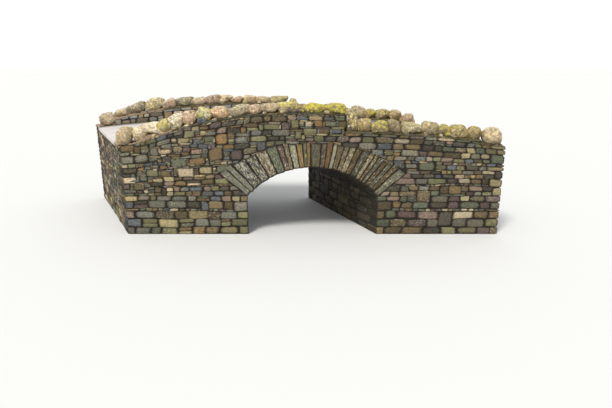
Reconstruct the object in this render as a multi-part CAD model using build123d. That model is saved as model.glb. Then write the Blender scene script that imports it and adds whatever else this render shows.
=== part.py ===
from build123d import *
import os
from math import asin, cos, degrees, radians, sin, sqrt, tan

# A packhorse bridge: one segmental arch of slate on two stone abutments, carrying a humped
# roadway between rubble parapets that are capped with boulders. The arch barrel and the
# ends run on a skew to the road. Lengths are in millimetres.
# +X runs along the road, +Y across it, +Z up. The face with y below zero is the front.
# The origin is at ground level, midway along the bridge and midway across it.

# Plan
overall_width = 3400
skew_angle = 28
wall_thickness = 420
half_length = 5000
abutment_thickness = 1180

# Arch: both curves are circles with their centres on the crown line
span = 3440
springing_height = 1070
arch_rise = 790
ring_depth_at_crown = 660
extrados_radius = 4100
skewback_angle = 4.5

# Roadway
cover_over_ring = 180
road_fall_to_ends = 300
road_thickness = 80

# High parapets, which follow the hump from the left end to just past the crown
front_height_at_crown = 535
front_height_at_end = 40
back_height_at_crown = 400
back_height_at_end = 150
parapet_apex_offset = -190
parapet_joint = -1550
parapet_step = 930

# Low parapets, which follow the road from the step to the right end
low_parapet_height = 60

# Coping: boulders on a bed of lime mortar
bed_thickness = 40
coping_depth = 440
stone_gap = 12
edge_round = 0.3
left_coping_lean = 90
step_stone_length = 330
step_stone_height = 480
end_boulder_length = 500
end_boulder_depth = 480
end_boulder_setback = 60
front_end_boulder_height = 450
back_end_boulder_height = 300

# Length and height of each coping stone, from the left; a run repeats them as it needs
front_left_stones = [(380, 340), (380, 370), (350, 370), (340, 370), (330, 360), (340, 350), (430, 295), (560, 260)]
front_crown_stones = [(270, 265), (400, 245), (220, 200), (450, 230), (500, 240), (520, 230)]
back_left_stones = [(380, 230), (400, 330), (560, 370), (420, 260), (400, 250), (400, 220), (400, 210)]
back_crown_stones = [(430, 255), (330, 230), (330, 180), (400, 200), (420, 180), (450, 210)]
low_stones = [(320, 320), (430, 290), (360, 330), (500, 270), (390, 340), (300, 280), (450, 310)]

# Derived places
skew = tan(radians(skew_angle))
half_width = overall_width / 2
inner_face = half_width - wall_thickness
half_span = span / 2
abutment_back = half_span + abutment_thickness
intrados_radius = (half_span**2 + arch_rise**2) / (2 * arch_rise)
intrados_centre = springing_height + arch_rise - intrados_radius
extrados_top = springing_height + arch_rise + ring_depth_at_crown
extrados_centre = extrados_top - extrados_radius
springing_angle = degrees(asin(half_span / intrados_radius))
ring_angle = springing_angle - skewback_angle
road_crown_height = extrados_top + cover_over_ring
road_radius = (half_length**2 + road_fall_to_ends**2) / (2 * road_fall_to_ends)
road_centre = road_crown_height - road_radius
end_boulder_place = half_length - end_boulder_setback - end_boulder_length / 2
low_parapet_end = end_boulder_place - end_boulder_length / 2 - stone_gap
parapet_left_end = left_coping_lean - low_parapet_end
road_left_end = road_centre + sqrt(road_radius**2 - parapet_left_end**2)
above_all = road_crown_height + front_height_at_crown + 1000


def circle_radius(top, end_height):
    """Radius of the parapet's top line, from its height at the apex and at the left end."""
    reach = parapet_apex_offset - parapet_left_end
    fall = top - end_height
    return (reach**2 + fall**2) / (2 * fall)


def on_circle(centre_u, centre_z, radius, u):
    """The point of a circle's upper half at distance u along the road."""
    return (u, 0, centre_z + sqrt(radius**2 - (u - centre_u) ** 2))


def hump_arc(centre_u, centre_z, radius, start_u, end_u):
    """The upper arc of a circle between two distances along the road."""
    middle_u = (start_u + end_u) / 2
    points = [on_circle(centre_u, centre_z, radius, u) for u in (start_u, middle_u, end_u)]
    return Edge.make_three_point_arc(*points)


def profile(*edges_and_points):
    """A face in the XZ plane whose outline joins the given arcs and corners in order."""
    edges = []
    cursor = None
    ends = []
    for item in edges_and_points:
        first = item @ 0 if isinstance(item, Edge) else Vector(*item)
        last = item @ 1 if isinstance(item, Edge) else first
        if cursor is not None and (first - cursor).length > 1e-6:
            edges.append(Edge.make_line(cursor, first))
        if isinstance(item, Edge):
            edges.append(item)
        cursor = last
        ends.append((first, last))
    start = ends[0][0]
    if (start - cursor).length > 1e-6:
        edges.append(Edge.make_line(cursor, start))
    return Face(Wire(edges))


def skew_prism(face, y_start, y_end):
    """The profile carried across the bridge along the skew, between two planes of y."""
    moved = face.moved(Location((-skew * y_start, y_start, 0)))
    depth = y_end - y_start
    return Solid.extrude(moved, Vector(-skew * depth, depth, 0))


def square_prism(face, y_start, y_end):
    """The profile carried square across one wall, centred on the wall's own crown."""
    shift = -skew * (y_start + y_end) / 2
    moved = face.moved(Location((shift, y_start, 0)))
    return Solid.extrude(moved, Vector(0, y_end - y_start, 0))


def save(node, shape):
    export_step(shape, f"parts/{node}.step")


def ring_point(angle, side):
    """Where a line from the intrados centre, at an angle from upright, meets the extrados."""
    offset = intrados_centre - extrados_centre
    reach = -offset * cos(radians(angle)) + sqrt(extrados_radius**2 - (offset * sin(radians(angle))) ** 2)
    return (side * reach * sin(radians(angle)), 0, intrados_centre + reach * cos(radians(angle)))


def soffit_point(angle, side):
    """The point of the intrados at an angle from upright."""
    reach = intrados_radius
    return (side * reach * sin(radians(angle)), 0, intrados_centre + reach * cos(radians(angle)))


os.makedirs("parts", exist_ok=True)

front_wall = (-half_width, -inner_face)
back_wall = (inner_face, half_width)
walls = {"front": front_wall, "back": back_wall}
sides = {"left": -1, "right": 1}

# The arch: a ring of long slates on each face, and the barrel between them
ring_start = ring_point(ring_angle, -1)
ring_end = ring_point(ring_angle, 1)
soffit_start = soffit_point(ring_angle, -1)
soffit_end = soffit_point(ring_angle, 1)
arch_profile = profile(
    hump_arc(0, extrados_centre, extrados_radius, ring_start[0], ring_end[0]),
    Edge.make_three_point_arc(soffit_end, (0, 0, springing_height + arch_rise), soffit_start),
)
for place, (y_start, y_end) in walls.items():
    save(f"arch_ring_{place}", skew_prism(arch_profile, y_start, y_end))
save("arch_barrel", skew_prism(arch_profile, -inner_face, inner_face))

# Under each end of the arch: a sloping skewback stone course, and the abutment
for place, side in sides.items():
    outer_low = ring_point(springing_angle, side)
    outer_high = ring_point(ring_angle, side)
    soffit_low = soffit_point(springing_angle, side)
    soffit_high = soffit_point(ring_angle, side)
    soffit_middle = soffit_point((springing_angle + ring_angle) / 2, side)
    skewback_profile = profile(
        Edge.make_three_point_arc(soffit_low, soffit_middle, soffit_high),
        hump_arc(0, extrados_centre, extrados_radius, outer_high[0], outer_low[0]),
    )
    save(f"skewback_{place}", skew_prism(skewback_profile, -half_width, half_width))
    abutment_profile = profile(
        (side * half_span, 0, 0),
        soffit_low,
        outer_low,
        (side * abutment_back, 0, outer_low[2]),
        (side * abutment_back, 0, 0),
    )
    save(f"abutment_{place}", skew_prism(abutment_profile, -half_width, half_width))

# Spandrel and wing walls, up to the level of the road, and the rubble fill between them
shoulder_height = ring_point(springing_angle, 1)[2]
under_road = profile(
    hump_arc(0, road_centre, road_radius, -1.2 * half_length, 1.2 * half_length),
    (1.2 * half_length, 0, 0),
    (-1.2 * half_length, 0, 0),
)
for place, side in sides.items():
    shoulder = ring_point(springing_angle, side)
    spandrel_profile = profile(
        hump_arc(0, extrados_centre, extrados_radius, 0, shoulder[0]),
        (side * abutment_back, 0, shoulder_height),
        (side * abutment_back, 0, above_all),
        (0, 0, above_all),
    )
    wing_profile = profile(
        (side * abutment_back, 0, 0),
        (side * half_length, 0, 0),
        (side * half_length, 0, above_all),
        (side * abutment_back, 0, above_all),
    )
    for wall, (y_start, y_end) in walls.items():
        beneath = square_prism(under_road, y_start, y_end)
        spandrel = skew_prism(spandrel_profile, y_start, y_end) & beneath
        save(f"spandrel_{wall}_{place}", spandrel)
        wing = skew_prism(wing_profile, y_start, y_end) & beneath
        save(f"wing_{wall}_{place}", wing)
    road_bed = (0, road_centre, road_radius - road_thickness)
    arch_fill_profile = profile(
        hump_arc(0, extrados_centre, extrados_radius, 0, shoulder[0]),
        (side * abutment_back, 0, shoulder_height),
        hump_arc(*road_bed, side * abutment_back, 0),
    )
    save(f"arch_fill_{place}", skew_prism(arch_fill_profile, -inner_face, inner_face))
    approach_fill_profile = profile(
        (side * abutment_back, 0, 0),
        (side * half_length, 0, 0),
        hump_arc(*road_bed, side * half_length, side * abutment_back),
    )
    save(f"approach_fill_{place}", skew_prism(approach_fill_profile, -inner_face, inner_face))

# The road surface, laid over the fill between the walls
road_profile = profile(
    hump_arc(0, road_centre, road_radius, -half_length, half_length),
    hump_arc(0, road_centre, road_radius - road_thickness, half_length, -half_length),
)
save("road_surface", skew_prism(road_profile, -inner_face, inner_face))


def wall_course(node, wall, lower, upper, start_u, end_u):
    """A length of wall between two circles, each given as centre_u, centre_z and radius."""
    face = profile(hump_arc(*lower, start_u, end_u), hump_arc(*upper, end_u, start_u))
    save(node, square_prism(face, *walls[wall]))


def lay_stones(stones, circle, start_u, end_u, wall):
    """Boulders in a row on a circle, their lengths scaled together to fill the run."""
    centre_u, centre_z, radius = circle
    start = asin((start_u - centre_u) / radius)
    run = (asin((end_u - centre_u) / radius) - start) * radius
    row = []
    while sum(length for length, _ in row) < run - stones[0][0] / 2:
        row.append(stones[len(row) % len(stones)])
    scale = run / sum(length for length, _ in row)
    y_start, y_end = walls[wall]
    middle_y = (y_start + y_end) / 2
    laid = []
    passed = 0
    for length, height in row:
        size = length * scale
        angle = start + (passed + size / 2) / radius
        stone = boulder(size - stone_gap, coping_depth, height)
        reach = radius + height / 2
        x = centre_u + reach * sin(angle) - skew * middle_y
        z = centre_z + reach * cos(angle)
        laid.append(Pos(x, middle_y, z) * Rot(0, degrees(angle), 0) * stone)
        passed += size
    return Compound(laid)


def boulder(length, depth, height):
    """A rounded block centred on the origin."""
    block = Box(length, depth, height)
    return fillet(block.edges(), edge_round * min(length, depth, height))


# Parapets, their mortar beds and their coping
road_circle = (0, road_centre, road_radius)
low_circle = (0, road_centre, road_radius + low_parapet_height)
low_bed_circle = (0, road_centre, road_radius + low_parapet_height + bed_thickness)
high_shapes = {
    "front": (front_height_at_crown, front_height_at_end, front_left_stones, front_crown_stones),
    "back": (back_height_at_crown, back_height_at_end, back_left_stones, back_crown_stones),
}
end_heights = {"front": front_end_boulder_height, "back": back_end_boulder_height}
for wall, (at_crown, at_end, left_stones, crown_stones) in high_shapes.items():
    top = road_crown_height + at_crown
    radius = circle_radius(top, road_left_end + at_end)
    top_circle = (parapet_apex_offset, top - radius, radius)
    bed_circle = (parapet_apex_offset, top - radius, radius + bed_thickness)
    high_runs = {
        "left": (parapet_left_end, parapet_joint, left_stones),
        "crown": (parapet_joint, parapet_step, crown_stones),
    }
    for place, (start_u, end_u, stones) in high_runs.items():
        wall_course(f"parapet_{wall}_{place}", wall, road_circle, top_circle, start_u, end_u)
        wall_course(f"coping_bed_{wall}_{place}", wall, top_circle, bed_circle, start_u, end_u)
        save(f"coping_{wall}_{place}", lay_stones(stones, bed_circle, start_u, end_u, wall))
    wall_course(f"parapet_{wall}_right", wall, road_circle, low_circle, parapet_step, low_parapet_end)
    wall_course(f"coping_bed_{wall}_right", wall, low_circle, low_bed_circle, parapet_step, low_parapet_end)
    step_end = parapet_step + step_stone_length + stone_gap
    low_coping = lay_stones(low_stones, low_bed_circle, step_end, low_parapet_end, wall)
    save(f"coping_{wall}_right", low_coping)

    # The tall stone that closes the step, and the boulder that ends each parapet
    step_stone = boulder(step_stone_length - stone_gap, coping_depth, step_stone_height)
    middle_y = sum(walls[wall]) / 2
    step_u = parapet_step + (step_stone_length + stone_gap) / 2
    step_angle = asin(step_u / low_bed_circle[2])
    reach = low_bed_circle[2] + step_stone_height / 2
    place_x = reach * sin(step_angle) - skew * middle_y
    place_z = road_centre + reach * cos(step_angle)
    save(f"step_stone_{wall}", Pos(place_x, middle_y, place_z) * Rot(0, degrees(step_angle), 0) * step_stone)
    for place, side in sides.items():
        height = end_heights[wall]
        end_stone = boulder(end_boulder_length, end_boulder_depth, height)
        end_u = side * end_boulder_place
        end_angle = asin(end_u / road_radius)
        reach = road_radius + height / 2
        place_x = reach * sin(end_angle) - skew * middle_y
        place_z = road_centre + reach * cos(end_angle)
        placed = Pos(place_x, middle_y, place_z) * Rot(0, degrees(end_angle), 0) * end_stone
        save(f"end_boulder_{wall}_{place}", placed)
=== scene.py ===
import math
import random

import bmesh
import bpy
from mathutils import Matrix, Vector, noise


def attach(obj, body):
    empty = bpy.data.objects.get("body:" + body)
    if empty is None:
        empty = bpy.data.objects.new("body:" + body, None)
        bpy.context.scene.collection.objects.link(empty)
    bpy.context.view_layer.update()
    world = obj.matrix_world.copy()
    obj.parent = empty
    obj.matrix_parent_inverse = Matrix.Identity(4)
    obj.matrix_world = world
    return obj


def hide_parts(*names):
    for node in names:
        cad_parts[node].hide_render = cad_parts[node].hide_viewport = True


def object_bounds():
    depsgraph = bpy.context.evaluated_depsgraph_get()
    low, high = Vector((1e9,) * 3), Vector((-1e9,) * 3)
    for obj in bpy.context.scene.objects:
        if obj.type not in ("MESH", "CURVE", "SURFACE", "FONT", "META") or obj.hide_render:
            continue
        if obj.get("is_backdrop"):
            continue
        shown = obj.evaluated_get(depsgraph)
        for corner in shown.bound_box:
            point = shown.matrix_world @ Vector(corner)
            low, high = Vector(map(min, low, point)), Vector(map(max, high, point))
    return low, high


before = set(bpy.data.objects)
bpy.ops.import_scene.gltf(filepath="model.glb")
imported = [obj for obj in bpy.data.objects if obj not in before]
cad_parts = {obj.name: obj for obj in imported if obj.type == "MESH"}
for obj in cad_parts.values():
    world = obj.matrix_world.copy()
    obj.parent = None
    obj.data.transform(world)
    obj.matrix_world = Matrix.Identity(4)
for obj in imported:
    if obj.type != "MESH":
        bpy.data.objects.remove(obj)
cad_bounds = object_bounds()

# Hearts of the walls
# The solid masonry behind the faces: rubble packed in earth and crumbled lime. It shows only as
# the dark filling of the open joints, a finger's breadth behind the stones' noses. At each end of
# the bridge it is cut back, so that the end's stones finish on the end plane.

MM = 0.001
WAYS = ((-1, "left"), (1, "right"))
HALF_LENGTH = 5.0
SKEW_RAD = math.radians(28)
SKEW = math.tan(SKEW_RAD)
ALONG_SKEW = Vector((-math.sin(SKEW_RAD), math.cos(SKEW_RAD), 0))
SQUARE_TO_SKEW = Vector((math.cos(SKEW_RAD), math.sin(SKEW_RAD), 0))
END_RECESS = 0.06
WELD = 0.0001


def linear(code):
    """An sRGB hex colour as linear red, green, blue and a full alpha."""
    parts = [int(code[i : i + 2], 16) / 255 for i in (0, 2, 4)]
    return [c / 12.92 if c <= 0.04045 else ((c + 0.055) / 1.055) ** 2.4 for c in parts] + [1.0]


def add(tree, kind, links=None, **settings):
    """Adds a node and gives its outputs. settings are its own properties, and links say what each
    of its sockets takes: another node's output or a value."""
    node = tree.nodes.new("ShaderNode" + kind)
    for key, value in settings.items():
        setattr(node, key, value)
    for key, value in (links or {}).items():
        if isinstance(value, bpy.types.NodeSocket):
            tree.links.new(value, node.inputs[key])
        else:
            node.inputs[key].default_value = value
    return node.outputs


def new_material(name):
    material = bpy.data.materials.new(name)
    material.use_nodes = True
    material.node_tree.nodes.clear()
    return material, material.node_tree


def coat(tree, base, height, strength, distance, **finish):
    """Leads a base colour and the relief of a height to the material's output."""
    bump = add(tree, "Bump", {"Height": height, "Strength": strength, "Distance": distance})[0]
    shader = add(tree, "BsdfPrincipled", {"Base Color": base, "Normal": bump, **finish})[0]
    add(tree, "OutputMaterial", {"Surface": shader})


def dress(names, material):
    for name in names:
        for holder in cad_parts[name].material_slots:
            holder.material = material


def new_piece(bm, name, material, replaced=()):
    """Makes a mesh one smooth piece that rides on the bridge, kept inside the CAD model's box."""
    low, high = cad_bounds
    for vert in bm.verts:
        vert.co = [max(low[i], min(high[i], vert.co[i])) for i in range(3)]
    bmesh.ops.recalc_face_normals(bm, faces=bm.faces)
    for part in bm.faces:
        part.smooth = True
    mesh = bpy.data.meshes.new(name)
    bm.to_mesh(mesh)
    bm.free()
    mesh.materials.append(material)
    piece = bpy.data.objects.new(name, mesh)
    bpy.context.scene.collection.objects.link(piece)
    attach(piece, "root")
    if replaced:
        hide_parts(*replaced)
    return piece


# Clay and old lime, rammed into the joints: dull and dark from the damp, and drawn nearly black
# with painted shade, as it lies in shadow. Its crumbs of 10 mm are too fine to show and are drawn 25 mm
# across
CRUMB = 25 * MM
joint_earth, tree = new_material("joint_earth")
place = add(tree, "TexCoord")["Object"]
crumbs = add(tree, "TexNoise", {"Vector": place, "Scale": 1 / CRUMB, "Detail": 4})[0]
shades = add(tree, "MapRange", {0: crumbs, 1: 0.35, 2: 0.7})[0]
tint = add(tree, "Mix", {0: shades, 6: linear("100d09"), 7: linear("2b2419")}, data_type="RGBA")[2]
coat(tree, tint, crumbs, 0.8, 0.01, Roughness=0.95)

PARTS = ("left", "crown", "right")
hearts = [f"{kind}_{name}" for kind in ("abutment", "skewback", "arch_fill") for _, name in WAYS]
hearts += ["arch_ring_front", "arch_ring_back", "arch_barrel"]
for wall in ("front", "back"):
    hearts += [f"spandrel_{wall}_{name}" for _, name in WAYS]
    hearts += [f"parapet_{wall}_{part}" for part in PARTS]
dress(hearts, joint_earth)

for way, way_name in WAYS:
    for name in (f"wing_front_{way_name}", f"approach_fill_{way_name}", f"wing_back_{way_name}"):
        bm = bmesh.new()
        bm.from_mesh(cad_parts[name].data)
        bmesh.ops.remove_doubles(bm, verts=bm.verts, dist=WELD)
        cut = bmesh.ops.bisect_plane(
            bm, geom=bm.verts[:] + bm.edges[:] + bm.faces[:], dist=WELD,
            plane_co=SQUARE_TO_SKEW * way * (HALF_LENGTH * math.cos(SKEW_RAD) - END_RECESS),
            plane_no=SQUARE_TO_SKEW * way, clear_outer=True)
        rim = [e for e in cut["geom_cut"] if isinstance(e, bmesh.types.BMEdge)]
        bmesh.ops.holes_fill(bm, edges=rim)
        heart = new_piece(bm, f"heart_{name}", joint_earth, [name])
        for part in heart.data.polygons:
            part.use_smooth = False

# Arch rings
# Long slates set on edge, unevenly thick, with their tails left ragged under the wall. The left
# ones are thick slabs, the others thinner, and most carry white and grey crust.

SIDES = ((-1, "front"), (1, "back"))
HALF_WIDTH = 1.70
HALF_SPAN = 1.72
SPRINGING = 1.07
RISE = 0.79
EXTRADOS_R = 4.1
CROWN_DEPTH = 0.66
ARCH_R = (HALF_SPAN**2 + RISE**2) / (2 * RISE)
ARCH_CENTRE = (0.0, SPRINGING + RISE - ARCH_R)
EXTRADOS_Z = SPRINGING + RISE + CROWN_DEPTH - EXTRADOS_R
SPRING_ANGLE = math.asin(HALF_SPAN / ARCH_R)
RING_DEPTH = 0.36
RING_JOINT_RAD = 0.003
SLATE_PROUD = (0.016, 0.027)
SLATE_TAIL = (-0.04, 0.035)
SLATE_DROP = 0.012


def ring_reach(angle):
    """Distance from the arch's centre to the back of its ring, at an angle from upright."""
    offset = ARCH_CENTRE[1] - EXTRADOS_Z
    return -offset * math.cos(angle) + math.sqrt(EXTRADOS_R**2 - (offset * math.sin(angle)) ** 2)


def turned(centre, angle, reach, y):
    """The place at an angle from upright and a distance from a centre (u, z), at y on the skew."""
    return Vector((centre[0] + reach * math.sin(angle) - y * SKEW, y, centre[1] + reach * math.cos(angle)))


def stray(dice, most):
    return dice.uniform(-most, most)


def shade(code, dice, spread=0.16):
    """A stone's own colour: its kind's, a little lighter or darker, warmer or colder."""
    colour = linear(code)
    light = dice.uniform(1 - spread, 1 + spread)
    warm = stray(dice, 0.05)
    return (colour[0] * light * (1 + warm), colour[1] * light, colour[2] * light * (1 - warm), 1.0)


def new_stones():
    bm = bmesh.new()
    bm.verts.layers.float_color.new("stone_colour")
    bm.verts.layers.float_color.new("growth")
    bm.verts.layers.float_vector.new("own_place")
    bm.verts.layers.float.new("seed")
    return bm


def marks(bm):
    """The layers of a mesh that hold each point's colour, growth, place in its stone and seed."""
    layers = bm.verts.layers
    return (layers.float_color["stone_colour"], layers.float_color["growth"],
            layers.float_vector["own_place"], layers.float["seed"])


CORNERS = [(right, outer, top) for right in (0, 1) for outer in (0, 1) for top in (0, 1)]
# Each block is made in a mesh of its own, which this one carries over to the wall's
chip = bpy.data.meshes.new("chip")
# The noise that roughens the blocks would start from the clock if it weren't seeded
noise.seed_set(1)


def set_stone(wall, dice, corners, cuts, colour, growth=(0, 0, 0), rim=0.02, bulge=0.0, wear=0.0,
              rough=0.006):
    """One block with a corner for each (right, outer, top), its edges worn round over a rim and
    its outer face domed by a bulge. cuts divide each of its edges, and wear is the share by which
    its corners are rounded off. Earth and painted shade darken its flanks, the top flank least,
    as light falls on it. growth is algae, grey crust and yellow lichen."""
    size = [(corners[1, 1, top] - corners[0, 1, top]).length for top in (0, 1)]
    size = [max(size), (corners[1, 1, 1] - corners[1, 0, 1]).length]
    size.append(max((corners[right, 1, 1] - corners[right, 1, 0]).length for right in (0, 1)))
    block = new_stones()
    bmesh.ops.create_cube(block, size=2)
    bmesh.ops.subdivide_edges(block, edges=block.edges, cuts=cuts, use_grid_fill=True)
    tone, grown, own, seed = marks(block)
    number = dice.random()
    outermost = 1 - 2 / (cuts + 1)
    for vert in block.verts:
        share = []
        for axis in range(3):
            t = vert.co[axis]
            if abs(abs(t) - outermost) < 0.01:
                t = math.copysign(1 - 2 * min(0.3, rim / max(size[axis], 0.001)), t)
            share.append((t + 1) / 2)
        edge = [abs(2 * s - 1) for s in share]
        # Earth in the joints and painted shade darken the flanks, the top flank least, since light falls on
        # it
        earth_and_shade = 1.0
        if edge[0] > 0.999 or edge[2] > 0.999 or share[1] < 0.999:
            earth_and_shade = 0.55 if share[2] > 0.999 else 0.15
        corner = (edge[0] * edge[2]) ** 3 * wear
        share[0] += (0.5 - share[0]) * corner
        share[2] += (0.5 - share[2]) * corner
        if share[1] > 0.5:
            share[1] -= bulge * (1 - (1 - edge[0] ** 2) * (1 - edge[2] ** 2)) / size[1]
        spot = Vector()
        for (right, outer, top), corner in corners.items():
            weight = (share[0] if right else 1 - share[0]) * (share[1] if outer else 1 - share[1])
            spot += corner * (weight * (share[2] if top else 1 - share[2]))
        vert.co = spot
        vert[tone] = (*(c * earth_and_shade for c in colour[:3]), 1)
        vert[grown] = (growth[0], growth[1] * earth_and_shade, growth[2] * earth_and_shade, 1)
        vert[own] = [share[axis] * size[axis] for axis in range(3)]
        vert[seed] = number
    # Two rounds of smoothing wear the edges, and noise of 125 and 40 mm roughens the faces
    axes = {f"use_axis_{axis}": True for axis in "xyz"}
    for _ in range(2):
        bmesh.ops.smooth_vert(block, verts=block.verts, factor=0.5, **axes)
    rough *= 1 + min(1.2, max(0.0, size[2] * 4 - 0.5))
    for vert in block.verts:
        spot = vert.co + Vector((number * 31, number * 17, 0))
        vert.co += noise.noise_vector(spot * 8) * rough + noise.noise_vector(spot * 24) * rough * 0.5
    block.to_mesh(chip)
    block.free()
    wall.from_mesh(chip)


def finish_stones(bm, name, material, grow=None):
    """Makes blocks one piece. grow changes a point's growth by its place."""
    if grow:
        _, grown, _, seed = marks(bm)
        for vert in bm.verts:
            vert[grown] = (*grow(vert.co, vert[seed], vert[grown]), 1)
    new_piece(bm, name, material)


def stone_material(name, mottle_size, bed, crust, crust_size, roughness, depth=0.16):
    """Stone as frost and lichen leave it. bed is how much finer its mottling is along each of the
    block's own ways, crust the pale lichen's colour and depth the relief, as a share of the
    mottling. The stone's grain is too fine to show and is drawn as a mottling 7 times finer."""
    material, tree = new_material(name)
    colour = add(tree, "Attribute", attribute_name="stone_colour")["Color"]
    growth = add(tree, "Attribute", attribute_name="growth")["Color"]
    growth = add(tree, "SeparateColor", {"Color": growth})
    seed = add(tree, "Attribute", attribute_name="seed")["Fac"]
    place = add(tree, "Attribute", attribute_name="own_place")["Vector"]
    place = add(tree, "VectorMath", {0: seed, 1: (37, 23, 51), 2: place}, operation="MULTIPLY_ADD")[0]
    bedded = add(tree, "Mapping", {"Vector": place, "Scale": bed})[0]
    blotch = {"Vector": bedded, "Scale": 1 / mottle_size}
    mottle = add(tree, "TexNoise", {**blotch, "Detail": 5, "Roughness": 0.62})[0]
    fine = add(tree, "TexNoise", {**blotch, "Scale": 7 / mottle_size, "Detail": 4, "Roughness": 0.75})[0]
    light = add(tree, "MapRange", {0: mottle, 1: 0.3, 2: 0.72, 3: 0.52, 4: 1.76})[0]
    fine_light = add(tree, "MapRange", {0: fine, 1: 0.3, 2: 0.72, 3: 0.58, 4: 1.46})[0]
    light = add(tree, "Math", {0: light, 1: fine_light}, operation="MULTIPLY")[0]
    base = add(tree, "VectorMath", {0: colour, 3: light}, operation="SCALE")[0]
    # Weathering turns some of each face rusty and leaves the rest blue-grey
    turn = add(tree, "TexNoise", {**blotch, "Detail": 4, "Roughness": 0.6})[1]
    turn = add(tree, "SeparateColor", {"Color": turn})
    warm = add(tree, "MapRange", {0: turn[0], 1: 0.4, 2: 0.62})[0]
    tint = add(tree, "Mix", {0: warm, 6: (0.94, 1.0, 1.07, 1), 7: (1.11, 1.0, 0.80, 1)}, data_type="RGBA")[2]
    base = add(tree, "VectorMath", {0: base, 1: tint}, operation="MULTIPLY")[0]
    stain = add(tree, "MapRange", {0: turn[2], 1: 0.50, 2: 0.70, 3: 0.0, 4: 0.5})[0]
    base = add(tree, "Mix", {0: stain, 6: base, 7: linear("675a42")}, data_type="RGBA")[2]
    # Grey crust, yellow lichen and olive algae, each as far as the growth attribute allows it
    coats = (("Green", crust, 0.85), ("Blue", "b5aa3c", 0.8), ("Red", "55532b", 0.75))
    for number, (channel, code, power) in enumerate(coats):
        spread = crust_size * (1 if number == 0 else 1.6)
        offset = add(tree, "VectorMath", {0: bedded, 1: (number * 5.3, number * 3.1, 0)})[0]
        spots = {"Vector": offset, "Scale": 1 / spread, "Detail": 5, "Roughness": 0.66}
        spots = add(tree, "TexNoise", spots)[0]
        reach = add(tree, "Math", {0: growth[channel], 1: 0.3, 2: spots}, operation="MULTIPLY_ADD")[0]
        cover = add(tree, "MapRange", {0: reach, 1: 0.68, 2: 0.80, 3: 0.0, 4: power})[0]
        tint = add(tree, "VectorMath", {0: linear(code)[:3], 3: light}, operation="SCALE")[0]
        base = add(tree, "Mix", {0: cover, 6: base, 7: tint}, data_type="RGBA")[2]
    height = add(tree, "Math", {0: mottle, 1: 0.6, 2: fine}, operation="MULTIPLY_ADD")[0]
    finish = {"Roughness": roughness, "IOR": 1.5, "Specular IOR Level": 0.3}
    coat(tree, base, height, 0.9, mottle_size * depth, **finish)
    return material


RING_STONES = {
    "slate": "4f4e42", "grey": "5f5d50", "ash": "6c6b60", "pale": "85826f", "dark": "40403a",
    "earth": "5d523e", "olive": "6a6148", "ochre": "7a6846", "rust": "664e36", "brown": "50422e",
    "plum": "574946", "green": "5b6050",
}
# The front ring from the left springing: where each slate ends in degrees, its kind and its crust
FRONT_RING = [
    (-45.6, "ash", 0.9), (-42.2, "ash", 1.0), (-35.6, "dark", 1.4), (-29.8, "dark", 1.35),
    (-23.9, "earth", 1.35), (-18.4, "green", 0.9), (-15.2, "plum", 1.1), (-12.3, "earth", 1.2),
    (-8.6, "pale", 1.2), (-5.3, "ochre", 0.8), (-3.4, "grey", 0.6), (-1.2, "ochre", 0.5),
    (4.6, "slate", 0.6), (7.4, "plum", 0.9), (10.4, "rust", 0.5), (12.9, "pale", 1.0),
    (16.2, "earth", 0.7), (19.1, "earth", 1.1), (22.1, "olive", 1.2), (25.6, "brown", 0.8),
    (29.3, "dark", 0.8), (31.9, "olive", 1.3), (34.4, "brown", 1.1), (37.0, "slate", 1.1),
    (39.6, "brown", 1.0), (42.2, "slate", 1.0), (45.2, "brown", 0.9), (49.4, "grey", 1.0),
]
# Slate split along its bed and set on edge: matt and streaked the long way, its blotches 60 mm
# across, under patches of white crust of 45 mm
ring_finish = stone_material("slate_on_edge", 60 * MM, (1.6, 1, 0.6), "bfb8a4", 45 * MM, 0.84, depth=0.2)

ring_tails = {-1: [], 1: []}
for side, name in SIDES:
    dice = random.Random(100 + side)
    slates = list(FRONT_RING) if side < 0 else []
    while not slates or slates[-1][0] < math.degrees(SPRING_ANGLE) - 0.3:
        at = slates[-1][0] if slates else -math.degrees(SPRING_ANGLE)
        at = min(at + dice.uniform(2.0, 4.6), math.degrees(SPRING_ANGLE) - 0.1)
        slates.append((at, dice.choice(list(RING_STONES)), dice.uniform(0.5, 1.4)))
    bm = new_stones()
    start = -SPRING_ANGLE
    for end_degrees, kind, crust in slates:
        end = math.radians(end_degrees)
        proud = dice.uniform(*SLATE_PROUD)
        tail = dice.uniform(*SLATE_TAIL)
        ring_tails[side].append((end, tail))
        corners = {}
        for right, outer, top in CORNERS:
            angle = end - RING_JOINT_RAD / 2 if right else start + RING_JOINT_RAD / 2
            angle += stray(dice, 0.003)
            reach = ARCH_R - SLATE_DROP + dice.uniform(-0.012, 0.006)
            if top:
                reach = ring_reach(angle) + tail + stray(dice, 0.02)
            y = HALF_WIDTH + proud + stray(dice, 0.004) if outer else HALF_WIDTH - RING_DEPTH
            corners[right, outer, top] = turned(ARCH_CENTRE, angle, reach, side * y)
        mossy = 0.35 if start > -0.3 else 0.1
        looks = shade(RING_STONES[kind], dice, 0.06), (mossy, crust * 0.48, 0.3)
        rim = min(0.02, (end - start) * 0.5)
        set_stone(bm, dice, corners, 5, *looks, rim=rim, bulge=proud * 0.55, rough=0.007)
        start = end
    finish_stones(bm, f"ring_slates_{name}", ring_finish)


def ring_back(side, u):
    """Height of the ragged back of the ring over u, or 0 beyond it."""
    if abs(u) > math.sin(SPRING_ANGLE) * ring_reach(SPRING_ANGLE):
        return 0.0
    angle = math.atan2(u, EXTRADOS_Z + math.sqrt(EXTRADOS_R**2 - u * u) - ARCH_CENTRE[1])
    tail = next((t for end, t in ring_tails[side] if angle < end), 0.0)
    return ARCH_CENTRE[1] + math.sqrt((ring_reach(angle) + tail - 0.015) ** 2 - u * u)


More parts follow.
